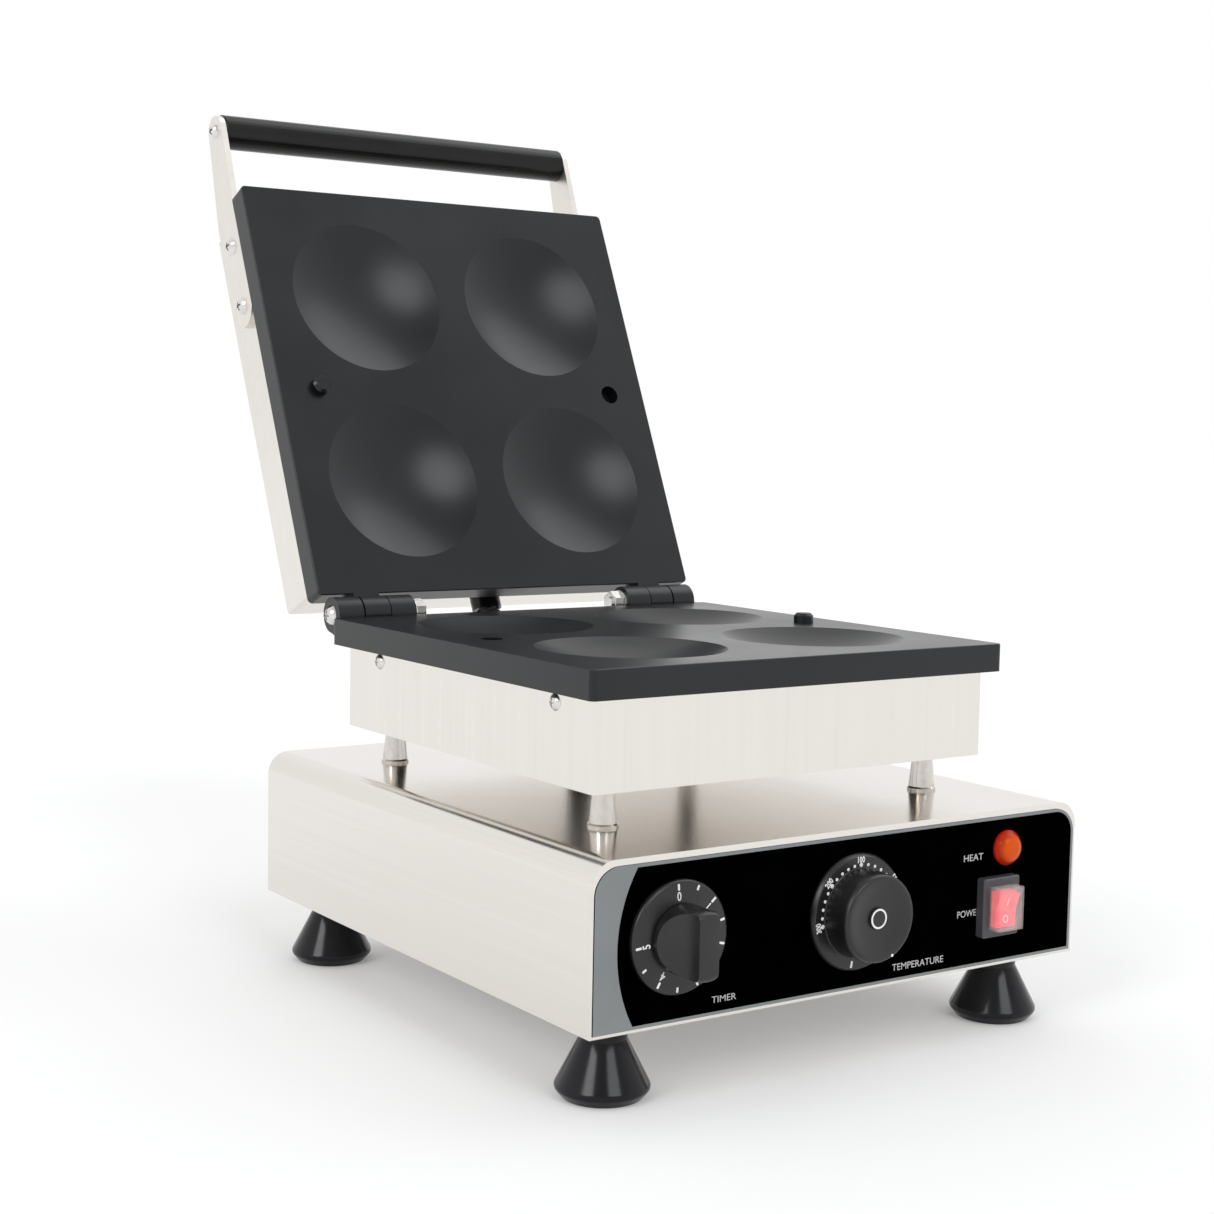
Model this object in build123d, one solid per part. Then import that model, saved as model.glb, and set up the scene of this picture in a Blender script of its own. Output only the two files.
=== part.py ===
"""Counter-top donut maker with four baking dishes, modelled standing open, in millimetres.

The origin is on the counter, at the middle of the four feet. X runs to the right, Y to the rear
and Z up. The controls face -Y. The lid is drawn shut and then swung open about the hinge.
"""
from build123d import *
from math import cos, radians, sin, tan
import os

os.makedirs("parts", exist_ok=True)

# Base: a wrap-around steel cover on a pan, with a front and a rear panel
BASE_W = 300.0
BASE_D = 330.0
BASE_BOTTOM = 37.0
BASE_TOP = 116.0
SHEET = 1.0
BEND_R = 12.0
FLANGE = 12.0
FRONT = -BASE_D / 2
REAR = BASE_D / 2
FOOT_X = 123.5
FOOT_Y = 137.0
FOOT_SCREW_R = 2.5
RECESS_R = 5.5
RECESS_MOUTH = 12.0
RECESS_DEPTH = 17.0
CHAMBER_R = 6.5

# Baking plates and the boxes behind them
PLATE_W = 257.0
PLATE_D = 259.0
PLATE_T = 14.5
PLATE_Y = -1.0
PLATE_CORNER_R = 3.0
PLATE_TOP = 195.0
PLATE_BOTTOM = PLATE_TOP - PLATE_T
GAP = 0.5
PARTING = PLATE_TOP + GAP / 2
BOX_SIDE = 244.0
BOX_Y = -1.0
BOX_BOTTOM = 136.0
LID_HEIGHT = 250.5
DISH_R = 48.5
DISH_DEPTH = 11.0
DISH_X = 58.75
DISH_Y = 59.5
DOWEL_X = 102.65
DOWEL_R = 5.5

# Hinge: three knuckles a side on one bolt
HINGE_Y = 140.7
HINGE_R = 10.0
HINGE_BOLT_R = 4.0
RUN_FIT = 0.05
OPEN_ANGLE = 114.4
INNER_KNUCKLE = (74.0, 90.0)
LID_KNUCKLE = (90.5, 106.5)
OUTER_KNUCKLE = (107.5, 123.0)

# Handle, in the shut position
HANDLE_Y = -182.0
HANDLE_Z = 221.4
GRIP_R = 10.25
GRIP_ROD_R = 5.0
ARM_T = 3.5
ARM_END_R = 9.5
ARM_ROOT_R = 13.0
ARM_ROOT_Z = 228.0
ARM_SCREWS_Y = (-106.8, -67.0)

# Supports between the base and the lower box
STANDOFF_X = 101.5
STANDOFF_Y = (-101.5, 104.3)
NIPPLE_R = 3.6
NIPPLE_BORE_R = 2.6

# Heater in each plate, and the spots (y, drop from the plate's back) of the screws in a box's sides
ELEMENT_R = 4.0
ELEMENT_Z = PLATE_BOTTOM - ELEMENT_R - 0.1
CLAMP_T = 2.0
CLAMP_TOP = ELEMENT_Z - ELEMENT_R
CLAMP_BOSS_Y = (-20.0, 75.0)
CLAMP_BOSS_R = 5.0
SIDE_SCREW_Y = (-90.0, 84.5)
SIDE_SCREW_DROP = 5.5
LOWER_SPOTS = [(y, SIDE_SCREW_DROP) for y in SIDE_SCREW_Y]
ARM_DROP = ARM_ROOT_Z - (2 * PARTING - PLATE_BOTTOM)
ARM_SPOTS = [(y, ARM_DROP) for y in ARM_SCREWS_Y]
LID_REAR_SPOTS = [(SIDE_SCREW_Y[1], SIDE_SCREW_DROP)]
UPPER_SPOTS = ARM_SPOTS + LID_REAR_SPOTS

# Controls on the front panel: centre of each as (x, z)
FILM_T = 0.4
TIMER = (-103.8, 77.7)
THERMOSTAT = (0.6, 76.4)
LAMP = (100.4, 96.8)
LAMP_BODY_R = 6.0
SWITCH = (93.8, 68.2)
SHAFT_R = 3.0
SHAFT_HOLE_R = 5.0
SHAFT_OUT = 13.0
SHAFT_IN = 12.0
DIAL_T = 3.2
BEZEL = (24.6, 30.0, 5.0)
POCKET = (14.6, 20.0)
HOOD = (17.3, 21.7, 7.0)
ROCKER_TILT = 9.0
PIVOT_DEPTH = 3.0
PIVOT_R = 1.2

# Flexible conduit from the base to the lid
CONDUIT_R = 6.25
CONDUIT_BASE = (50.0, 144.5)
CONDUIT_LID_Z = 230.0
GLAND_R = 9.0
GLAND_H = 9.0
CORD_GLAND = (96.0, 66.0)
CORD_GLAND_R = 7.0

FILM_FACE = FRONT - FILM_T
WALL = FRONT + SHEET


def block(x, y, z):
    """A box between two values along each axis."""
    spans = (x, y, z)
    middle = [(low + high) / 2 for low, high in spans]
    size = [high - low for low, high in spans]
    return Pos(*middle) * Box(*size)


def rod_x(radius, x, y, z):
    """A cylinder along X between two values of x."""
    return Pos(sum(x) / 2, y, z) * Rot(0, 90, 0) * Cylinder(radius, x[1] - x[0])


def rod_y(radius, x, y, z):
    """A cylinder along Y between two values of y."""
    return Pos(x, sum(y) / 2, z) * Rot(90, 0, 0) * Cylinder(radius, y[1] - y[0])


def rod_z(radius, x, y, z):
    """A cylinder along Z between two values of z."""
    return Pos(x, y, sum(z) / 2) * Cylinder(radius, z[1] - z[0])


def ring_z(outer, inner, x, y, z):
    """A tube standing along Z."""
    return rod_z(outer, x, y, z) - rod_z(inner, x, y, z)


def profile_x(points, x):
    """The prism of a (y, z) outline between two values of x."""
    face = Plane.YZ * make_face(Polyline(*points, close=True))
    return Pos(x[0], 0, 0) * extrude(face, x[1] - x[0])


def mirrored(shape):
    """The same shape on the other side of the middle plane."""
    return mirror(shape, about=Plane.YZ)


def both(shape):
    """A shape and its twin on the other side."""
    return [shape, mirrored(shape)]


def flipped(shape):
    """A shape of the lower half, turned over onto the shut lid."""
    return mirror(shape, about=Plane.XY.offset(PARTING))


def swing(shape, angle=-OPEN_ANGLE):
    """The shape turned about the hinge line, from shut to open unless told otherwise."""
    return shape.rotate(Axis((0, HINGE_Y, PARTING), (1, 0, 0)), angle)


def tube(points, radius, corner):
    """A round bar along straight runs joined by tangent arcs."""
    path = FilletPolyline(*points, radius=corner)
    return sweep(Plane(path @ 0, z_dir=path % 0) * Circle(radius), path=path)


def save(name, *shapes):
    """Write one node from its separate solids."""
    solids = [solid for shape in shapes for solid in shape.solids()]
    export_step(Compound(solids), f"parts/{name}.step")


def pan_screw(head_r, head_h, shank_r, length):
    """A domed screw with a cross recess: its head along +Z from the origin, its shank along -Z."""
    dome_r = (head_r**2 + head_h**2) / (2 * head_h)
    ball = Pos(0, 0, head_h - dome_r) * Sphere(dome_r)
    head = ball & block((-head_r, head_r), (-head_r, head_r), (0, head_h))
    slot = block((-head_r / 2, head_r / 2), (-head_r / 9, head_r / 9), (head_h * 0.45, head_h * 1.1))
    shank = rod_z(shank_r, 0, 0, (-length, 0))
    return head + shank - slot - Rot(0, 0, 90) * slot


def hex_nut(across, height, bore_r):
    """A nut standing on the origin along +Z."""
    body = extrude(RegularPolygon(across / 2, 6, major_radius=False), height)
    return body - rod_z(bore_r, 0, 0, (0, height))


def washer(outer, inner, thick):
    """A flat ring standing on the origin along +Z."""
    return rod_z(outer, 0, 0, (0, thick)) - rod_z(inner, 0, 0, (0, thick))


def base_section(inset):
    """Front view of the base with its two rounded top corners, drawn in X and Z."""
    half = BASE_W / 2 - inset
    outline = Polyline((-half, BASE_BOTTOM), (half, BASE_BOTTOM), (half, BASE_TOP - inset),
                       (-half, BASE_TOP - inset), close=True)
    face = make_face(outline)
    corners = face.vertices().group_by(Axis.Y)[-1]
    return Plane.XZ * fillet(corners, BEND_R - inset)


def base_slice(inset, y):
    """The base's section made solid between two values of y."""
    return Pos(0, y[1], 0) * extrude(base_section(inset), y[1] - y[0])


# ------------------------------------------------------------------ base shell and feet

def make_base_cover():
    """One sheet bent over the sides and the top, drilled for the supports and the conduit."""
    span = (FRONT + SHEET, REAR - SHEET)
    cover = base_slice(0, span) - base_slice(SHEET, span)
    cover -= block((-BASE_W, BASE_W), span, (0, BASE_BOTTOM))
    inner = BASE_W / 2 - SHEET
    cover -= block((-inner, inner), span, (BASE_BOTTOM - 1, BASE_BOTTOM + SHEET + 1))
    for x in (-STANDOFF_X, STANDOFF_X):
        for y in STANDOFF_Y:
            cover -= rod_z(NIPPLE_R, x, y, (BASE_TOP - 2 * SHEET, BASE_TOP + 1))
    return cover - rod_z(CONDUIT_R, *CONDUIT_BASE, (BASE_TOP - 2 * SHEET, BASE_TOP + 1))


def make_end_panel(front):
    """A panel closing one end of the cover, with a flange bent inside it."""
    y = (FRONT, WALL) if front else (REAR - SHEET, REAR)
    lip = (WALL, WALL + FLANGE) if front else (REAR - SHEET - FLANGE, REAR - SHEET)
    flange = base_slice(SHEET, lip) - base_slice(2 * SHEET, lip)
    inner = BASE_W / 2 - 2 * SHEET
    flange -= block((-inner, inner), lip, (BASE_BOTTOM - 1, BASE_BOTTOM + 3 * SHEET))
    flange -= block((-BASE_W, BASE_W), lip, (0, BASE_BOTTOM + FLANGE + 2 * SHEET))
    return base_slice(0, y) + flange


def switch_window(y):
    """The cut-out for the switch body."""
    x, z = SWITCH
    return block((x - 10.5, x + 10.5), y, (z - 13.5, z + 13.5))


def make_front_panel():
    """The steel panel behind the printed film."""
    panel = make_end_panel(True)
    y = (FRONT - 1, WALL + 1)
    for x, z in (TIMER, THERMOSTAT):
        panel -= rod_y(SHAFT_HOLE_R, x, y, z)
    panel -= rod_y(LAMP_BODY_R, LAMP[0], y, LAMP[1])
    return panel - switch_window(y)


def make_film():
    """The printed film over the front panel, square below and rounded above."""
    half = BASE_W / 2 - 1.5
    low, high = BASE_BOTTOM + 1.5, BASE_TOP - 3.0
    sheet = make_face(Polyline((-half, low), (half, low), (half, high), (-half, high), close=True))
    sheet = fillet(sheet.vertices().group_by(Axis.Y)[-1], BEND_R + 1)
    film = Pos(0, FRONT, 0) * extrude(Plane.XZ * sheet, FILM_T)
    y = (FRONT - 1, FRONT + 1)
    for x, z in (TIMER, THERMOSTAT):
        film -= rod_y(SHAFT_HOLE_R, x, y, z)
    film -= rod_y(LAMP_BODY_R, LAMP[0], y, LAMP[1])
    return film - switch_window(y)


def make_rear_panel():
    """The rear panel, with a row of air slots and the hole for the cord gland."""
    panel = make_end_panel(False)
    y = (REAR - 2, REAR + 1)
    for index in range(9):
        x = -100 + index * 14
        panel -= block((x - 2.5, x + 2.5), y, (62, 86))
    return panel - rod_y(CORD_GLAND_R, CORD_GLAND[0], y, CORD_GLAND[1])


def make_pan():
    """The bottom pan: a tray with low walls, air slots and four holes for the foot screws."""
    half_x, front, rear = BASE_W / 2 - SHEET, FRONT + SHEET, REAR - SHEET
    wall_top = BASE_BOTTOM + FLANGE
    pan = block((-half_x, half_x), (front, rear), (BASE_BOTTOM, wall_top))
    pan -= block((-half_x + SHEET, half_x - SHEET), (front + SHEET, rear - SHEET),
                 (BASE_BOTTOM + SHEET, wall_top + 1))
    for x in (-FOOT_X, FOOT_X):
        for y in (-FOOT_Y, FOOT_Y):
            pan -= rod_z(FOOT_SCREW_R, x, y, (BASE_BOTTOM - 1, BASE_BOTTOM + 2 * SHEET))
    for index in range(8):
        y = -70 + index * 20
        for x in (-55, 55):
            pan -= block((x - 30, x + 30), (y - 2.5, y + 2.5), (BASE_BOTTOM - 1, BASE_BOTTOM + 2))
    return pan


def make_foot():
    """A neck, a cone down to a rolled edge, and a recess below that opens into the screw's chamber."""
    edge = make_face(Polyline((0, 0), (18.5, 0), (22.8, 5.0), (11.2, 27.5), (11.2, BASE_BOTTOM),
                              (0, BASE_BOTTOM), close=True))
    edge = fillet(edge.vertices().sort_by(Axis.X)[-1], 3.0)
    edge = fillet(edge.vertices().filter_by_position(Axis.X, 18, 19), 1.5)
    foot = revolve(Plane.XZ * edge, Axis.Z)
    foot -= rod_z(RECESS_R, 0, 0, (-1, RECESS_MOUTH))
    foot -= rod_z(CHAMBER_R, 0, 0, (RECESS_MOUTH, RECESS_DEPTH))
    return foot - rod_z(FOOT_SCREW_R, 0, 0, (RECESS_DEPTH - 1, BASE_BOTTOM + 1))


def foot_places():
    """The four foot axes."""
    return [Pos(x, y, 0) for x in (-FOOT_X, FOOT_X) for y in (-FOOT_Y, FOOT_Y)]


def make_foot_screw():
    """The screw up through a foot, its head in the chamber."""
    length = BASE_BOTTOM + 8 - RECESS_DEPTH
    return Pos(0, 0, RECESS_DEPTH) * Rot(180, 0, 0) * pan_screw(4.6, 3.0, FOOT_SCREW_R, length)


def make_foot_nut():
    """The nut on the foot screw, inside the pan."""
    return Pos(0, 0, BASE_BOTTOM + SHEET) * hex_nut(8.0, 4.0, FOOT_SCREW_R)


# ------------------------------------------------------------------ supports

def standoff_places():
    """The four support axes."""
    return [Pos(x, y, 0) for x in (-STANDOFF_X, STANDOFF_X) for y in STANDOFF_Y]


def make_standoff():
    """A plated spacer: a flange on the base, then a stem that tapers upwards."""
    low, high = BASE_TOP, BOX_BOTTOM
    edge = [(0, low), (7.5, low), (7.5, low + 1.2), (6.8, low + 2), (5.1, high), (0, high)]
    post = revolve(Plane.XZ * make_face(Polyline(*edge, close=True)), Axis.Z)
    return post - rod_z(NIPPLE_R, 0, 0, (low - 1, high + 1))


def make_nipple():
    """The hollow threaded rod through the support, which also carries the leads."""
    return ring_z(NIPPLE_R, NIPPLE_BORE_R, 0, 0, (BASE_TOP - 12, BOX_BOTTOM + 10))


def make_nipple_nuts():
    """Nuts under the base's top and inside the lower box."""
    below = Pos(0, 0, BASE_TOP - SHEET - 6) * hex_nut(13, 6, NIPPLE_R)
    above = Pos(0, 0, BOX_BOTTOM + SHEET) * hex_nut(13, 6, NIPPLE_R)
    return [below, above]


# ------------------------------------------------------------------ baking plates

def knuckle(x):
    """One hinge knuckle of the lower plate, with the web that joins it to the plate's rear face."""
    face_y = PLATE_Y + PLATE_D / 2
    web = [(face_y - 1, PLATE_BOTTOM + 0.5), (HINGE_Y, PARTING - HINGE_R), (HINGE_Y, PLATE_TOP),
           (face_y - 1, PLATE_TOP)]
    return profile_x(web, x) + rod_x(HINGE_R, x, HINGE_Y, PARTING)


def make_slab():
    """The plate's slab with four round dishes sunk in its top."""
    slab = Pos(0, PLATE_Y, (PLATE_TOP + PLATE_BOTTOM) / 2) * Box(PLATE_W, PLATE_D, PLATE_T)
    slab = fillet(slab.edges().filter_by(Axis.Z), PLATE_CORNER_R)
    slab = fillet(slab.faces().sort_by(Axis.Z)[-1].outer_wire().edges(), 0.8)
    ball_r = (DISH_R**2 + DISH_DEPTH**2) / (2 * DISH_DEPTH)
    for x in (-DISH_X, DISH_X):
        for y in (-DISH_Y, DISH_Y):
            slab -= Pos(x, PLATE_Y + y, PLATE_TOP - DISH_DEPTH + ball_r) * Rot(90, 0, 0) * Sphere(ball_r)
    return slab


def make_bosses(screw_spots):
    """Bosses under the plate for the clamp screws and for the screws through the box's sides."""
    bosses = []
    for y in CLAMP_BOSS_Y:
        boss = rod_z(CLAMP_BOSS_R, 0, y, (ELEMENT_Z - ELEMENT_R, PLATE_BOTTOM))
        bosses.append(boss - rod_z(2.0, 0, y, (ELEMENT_Z - ELEMENT_R - 1, PLATE_BOTTOM)))
    side = BOX_SIDE / 2 - SHEET
    for y, drop in screw_spots:
        lug = block((side - 6, side), (y - 7, y + 7), (PLATE_BOTTOM - drop - 6, PLATE_BOTTOM))
        bosses += both(lug - rod_x(2.0, (side - 7, side + 1), y, PLATE_BOTTOM - drop))
    return bosses


def make_plate(dowel_side, knuckles, screw_spots):
    """A cast plate in the lower position: slab, bosses, knuckles, dowel seat and dowel socket."""
    plate = make_slab()
    for boss in make_bosses(screw_spots):
        plate += boss
    for span in knuckles:
        for piece in both(knuckle(span)):
            plate += piece
    reach = (INNER_KNUCKLE[0] - 1, OUTER_KNUCKLE[1] + 1)
    for bore in both(rod_x(HINGE_BOLT_R + RUN_FIT, reach, HINGE_Y, PARTING)):
        plate -= bore
    plate -= rod_z(DOWEL_R - 1.5, dowel_side * DOWEL_X, 0, (PLATE_TOP - 6, PLATE_TOP + 1))
    return plate - rod_z(DOWEL_R + 0.5, -dowel_side * DOWEL_X, 0, (PLATE_TOP - 9, PLATE_TOP + 1))


def lid_heel():
    """The stop on a lid knuckle: open, it comes up against the rear face of the lower plate."""
    face_y = PLATE_Y + PLATE_D / 2
    open_heel = profile_x([(face_y + 0.3, 184.5), (HINGE_Y, 187.5), (HINGE_Y, 193.0), (face_y + 0.3, 193.0)],
                          (LID_KNUCKLE[0] + 2, LID_KNUCKLE[1] - 2))
    heel = swing(open_heel, OPEN_ANGLE)
    return heel - rod_x(HINGE_BOLT_R + 1.5, LID_KNUCKLE, HINGE_Y, PARTING)


def make_plate_upper():
    """The lid's plate, drawn shut."""
    plate = flipped(make_plate(-1, [LID_KNUCKLE], UPPER_SPOTS))
    for heel in both(lid_heel()):
        plate += heel
    return plate


def make_dowel(side):
    """The round-nosed locating pin set in the plate."""
    stem = rod_z(DOWEL_R - 1.5, side * DOWEL_X, 0, (PLATE_TOP - 6, PLATE_TOP))
    nose = rod_z(DOWEL_R, side * DOWEL_X, 0, (PLATE_TOP, PLATE_TOP + 5.5))
    nose = chamfer(nose.edges().filter_by(GeomType.CIRCLE).sort_by(Axis.Z)[-1], 1.5)
    return stem + nose


# ------------------------------------------------------------------ heaters and boxes

def make_element():
    """The sheathed heater: one bar wound under the four dishes, with a pin at each end."""
    wide, narrow, rear, front, middle = 90.0, 30.0, 100.0, -100.0, 40.0
    half = [(22, rear), (wide, rear), (wide, front), (narrow, front), (narrow, middle)]
    points = [(x, y, ELEMENT_Z) for x, y in half]
    points += [(-x, y, ELEMENT_Z) for x, y in reversed(half)]
    bar = tube(points, ELEMENT_R, 16)
    pins = both(rod_x(1.5, (12, 22), rear, ELEMENT_Z))
    return bar + pins[0] + pins[1]


def make_clamp():
    """The steel plate that presses the heater against the casting."""
    clamp = block((-104, 104), (-106, 88), (CLAMP_TOP - CLAMP_T, CLAMP_TOP))
    clamp -= block((-60, 60), (-70, -45), (CLAMP_TOP - 3, CLAMP_TOP + 1))
    for y in CLAMP_BOSS_Y:
        clamp -= rod_z(2.0, 0, y, (CLAMP_TOP - 3, CLAMP_TOP + 1))
    return clamp


def make_clamp_screws():
    """The two screws through the clamp plate."""
    screw = Rot(180, 0, 0) * pan_screw(4.5, 2.6, 2.0, 8.0)
    return [Pos(0, y, CLAMP_TOP - CLAMP_T) * screw for y in CLAMP_BOSS_Y]


def make_wool(top, bottom):
    """The mineral wool slab between the heater and the box's closed side."""
    wool = block((-108, 108), (-98, 86), (bottom, top))
    for x in (-STANDOFF_X, STANDOFF_X):
        wool -= rod_z(13, x, STANDOFF_Y[0], (bottom - 1, top + 1))
    return wool


def make_box(bottom, top):
    """A folded steel box, open towards its plate."""
    half = BOX_SIDE / 2
    y = (BOX_Y - half, BOX_Y + half)
    outer = fillet(block((-half, half), y, (bottom, top)).edges().filter_by(Axis.Z), 2.0)
    inner = block((-half + SHEET, half - SHEET), (y[0] + SHEET, y[1] - SHEET), (bottom + SHEET, top + 1))
    return outer - fillet(inner.edges().filter_by(Axis.Z), 1.0)


def side_holes(box, spots, top, radius):
    """The box with holes through both sides for its screws."""
    for y, drop in spots:
        for hole in both(rod_x(radius, (BOX_SIDE / 2 - 2, BOX_SIDE / 2 + 1), y, top - drop)):
            box -= hole
    return box


def make_box_lower():
    """The lower heater box on its four supports."""
    box = side_holes(make_box(BOX_BOTTOM, PLATE_BOTTOM), LOWER_SPOTS, PLATE_BOTTOM, 2.0)
    for x in (-STANDOFF_X, STANDOFF_X):
        for y in STANDOFF_Y:
            box -= rod_z(NIPPLE_R, x, y, (BOX_BOTTOM - 1, BOX_BOTTOM + 2))
    return box


def make_box_upper():
    """The lid's box, drawn shut, with the conduit's hole in its rear wall."""
    turned = 2 * PARTING - LID_HEIGHT
    box = side_holes(make_box(turned, PLATE_BOTTOM), UPPER_SPOTS, PLATE_BOTTOM, 2.0)
    rear = BOX_Y + BOX_SIDE / 2
    return flipped(box) - rod_y(CONDUIT_R, 0, (rear - 2, rear + 1), CONDUIT_LID_Z)


def side_screws(spots, head_r, head_h, face_x, length):
    """Screws in both sides of a box in the lower position, heads standing on the given face."""
    screw = Rot(0, 90, 0) * pan_screw(head_r, head_h, 2.0, length)
    return [piece for y, drop in spots for piece in both(Pos(face_x, y, PLATE_BOTTOM - drop) * screw)]


# ------------------------------------------------------------------ hinge and handle

def make_hinge_bolt():
    """The pivot bolt through three knuckles, its domed head outside."""
    head = Pos(OUTER_KNUCKLE[1], HINGE_Y, PARTING) * Rot(0, 90, 0) * pan_screw(5.6, 3.6, HINGE_BOLT_R, 1.0)
    return head + rod_x(HINGE_BOLT_R, (INNER_KNUCKLE[0] - 9.5, OUTER_KNUCKLE[1]), HINGE_Y, PARTING)


def make_hinge_nut():
    """The nut on the inner end of the pivot bolt."""
    place = Pos(INNER_KNUCKLE[0] - 8, HINGE_Y, PARTING) * Rot(0, 90, 0)
    return place * hex_nut(13, 6.4, HINGE_BOLT_R)


def make_hinge_washer():
    """The washer between the nut and the inner knuckle."""
    place = Pos(INNER_KNUCKLE[0] - 1.6, HINGE_Y, PARTING) * Rot(0, 90, 0)
    return place * washer(8.0, HINGE_BOLT_R, 1.6)


def make_arm():
    """The right handle arm: a flat bar tapering forward to a rounded end."""
    x = (BOX_SIDE / 2, BOX_SIDE / 2 + ARM_T)
    root_y, bar_y = ARM_SCREWS_Y[1], -125.0
    low, high = ARM_ROOT_Z - ARM_ROOT_R, ARM_ROOT_Z + ARM_ROOT_R
    outline = [(HANDLE_Y, HANDLE_Z + ARM_END_R), (bar_y, high), (root_y, high), (root_y, low), (bar_y, low),
               (HANDLE_Y, HANDLE_Z - ARM_END_R)]
    arm = profile_x(outline, x) + rod_x(ARM_END_R, x, HANDLE_Y, HANDLE_Z)
    arm += rod_x(ARM_ROOT_R, x, root_y, ARM_ROOT_Z)
    reach = (x[0] - 1, x[1] + 1)
    for y in ARM_SCREWS_Y:
        arm -= rod_x(2.0, reach, y, ARM_ROOT_Z)
    return arm - rod_x(2.5, reach, HANDLE_Y, HANDLE_Z)


def make_grip():
    """The plastic tube between the arms."""
    half = BOX_SIDE / 2
    grip = rod_x(GRIP_R, (-half, half), HANDLE_Y, HANDLE_Z)
    grip = fillet(grip.edges().filter_by(GeomType.CIRCLE), 0.8)
    return grip - rod_x(GRIP_ROD_R, (-half - 1, half + 1), HANDLE_Y, HANDLE_Z)


def make_grip_rod():
    """The steel rod inside the grip, tapped at both ends."""
    half = BOX_SIDE / 2
    rod = rod_x(GRIP_ROD_R, (-half, half), HANDLE_Y, HANDLE_Z)
    for end in both(rod_x(2.5, (half - 15, half + 1), HANDLE_Y, HANDLE_Z)):
        rod -= end
    return rod


def make_grip_screw():
    """The screw through an arm into the rod's end."""
    place = Pos(BOX_SIDE / 2 + ARM_T, HANDLE_Y, HANDLE_Z) * Rot(0, 90, 0)
    return place * pan_screw(4.8, 3.2, 2.5, 16.0)


# ------------------------------------------------------------------ controls

def turned_y(edge, x, z):
    """A body of revolution about a line along -Y from the film: edge points are (radius, depth out)."""
    face = make_face(Polyline(*edge, close=True))
    return Pos(x, FILM_FACE, z) * Rot(90, 0, 0) * revolve(Plane.XZ * face, Axis.Z)


def make_thermostat_knob():
    """A skirted knob with a dished face and a plain round cap."""
    edge = [(0, 0.6), (28.4, 0.6), (28.4, 1.8), (27.2, 4.0), (21.6, 4.0), (21.2, 17.0), (20.0, 19.0),
            (16.0, 18.2), (10.0, 17.0), (5.2, 16.6), (5.2, 17.6), (0, 17.6)]
    knob = turned_y(edge, *THERMOSTAT)
    return knob - rod_y(SHAFT_R, THERMOSTAT[0], (FILM_FACE - SHAFT_OUT, FILM_FACE), THERMOSTAT[1])


def make_timer_dial():
    """The fixed dial ring of the timer, standing on the film."""
    edge = [(SHAFT_HOLE_R, 0), (26.3, 0), (26.3, 2.4), (25.5, DIAL_T), (SHAFT_HOLE_R, DIAL_T)]
    return turned_y(edge, *TIMER)


def make_timer_knob():
    """A round hub scooped on both sides down to a finger bar."""
    x, z = TIMER
    hub_r, top, bar_half, scoop_r = 16.0, 24.0, 5.4, 18.0
    low = DIAL_T + 0.4
    hub = turned_y([(0, low), (hub_r, low), (hub_r - 0.8, top - 1), (hub_r - 1.8, top), (0, top)], x, z)
    for side in (-1, 1):
        hub -= rod_z(scoop_r, x + side * (bar_half + scoop_r), FILM_FACE - top + 1, (z - 30, z + 30))
    return hub - rod_y(SHAFT_R, x, (FILM_FACE - SHAFT_OUT, FILM_FACE), z)


def make_shaft(spot):
    """A control's shaft, from inside its body out into the knob."""
    return rod_y(SHAFT_R, spot[0], (FILM_FACE - SHAFT_OUT, WALL + SHAFT_IN), spot[1])


def make_control_body(spot, width, depth):
    """A control's housing behind the panel, with a bearing for the shaft and a threaded neck."""
    x, z = spot
    half = width / 2
    body = block((x - half, x + half), (WALL, WALL + depth), (z - half, z + half))
    body += rod_y(SHAFT_HOLE_R, x, (FRONT, WALL), z)
    return body - rod_y(SHAFT_R + RUN_FIT, x, (FRONT - 1, WALL + SHAFT_IN + RUN_FIT), z)


def make_lamp_lens():
    """The domed amber lens with its rim."""
    edge = [(0, 0), (8.7, 0), (8.7, 1.6), (8.0, 3.0), (6.6, 4.4), (4.6, 5.5), (2.4, 6.1), (0, 6.3)]
    return turned_y(edge, *LAMP)


def make_lamp_body():
    """The lamp's holder through the panel, with two tabs."""
    x, z = LAMP
    body = rod_y(LAMP_BODY_R, x, (FILM_FACE, WALL + 22), z)
    for side in (-1, 1):
        body += block((x + side * 3 - 0.4, x + side * 3 + 0.4), (WALL + 21, WALL + 29), (z - 2, z + 2))
    return body


def make_lamp_nut():
    """The nut behind the panel on the lamp's holder."""
    return Pos(LAMP[0], WALL, LAMP[1]) * Rot(-90, 0, 0) * hex_nut(17, 4, LAMP_BODY_R)


def make_switch_body():
    """The switch housing: a bezel outside, a snap-in body inside, and the rocker's pocket."""
    x, z = SWITCH
    w, h, out = BEZEL
    bezel = block((x - w / 2, x + w / 2), (FILM_FACE - out, FILM_FACE), (z - h / 2, z + h / 2))
    bezel = fillet(bezel.edges().filter_by(Axis.Y), 1.2)
    bezel = chamfer(bezel.faces().sort_by(Axis.Y)[0].edges(), 0.6)
    body = bezel + block((x - 10.5, x + 10.5), (FILM_FACE, WALL + 22), (z - 13.5, z + 13.5))
    pw, ph = POCKET
    body -= block((x - pw / 2, x + pw / 2), (FILM_FACE - out - 1, WALL + 8), (z - ph / 2, z + ph / 2))
    body -= rod_x(PIVOT_R + RUN_FIT, (x - pw / 2 - 1.6, x + pw / 2 + 1.6), FILM_FACE - out + PIVOT_DEPTH, z)
    for tab in (-7, 0, 7):
        body += block((x - 3, x + 3), (WALL + 21, WALL + 31), (z + tab - 0.4, z + tab + 0.4))
    return body


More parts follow.
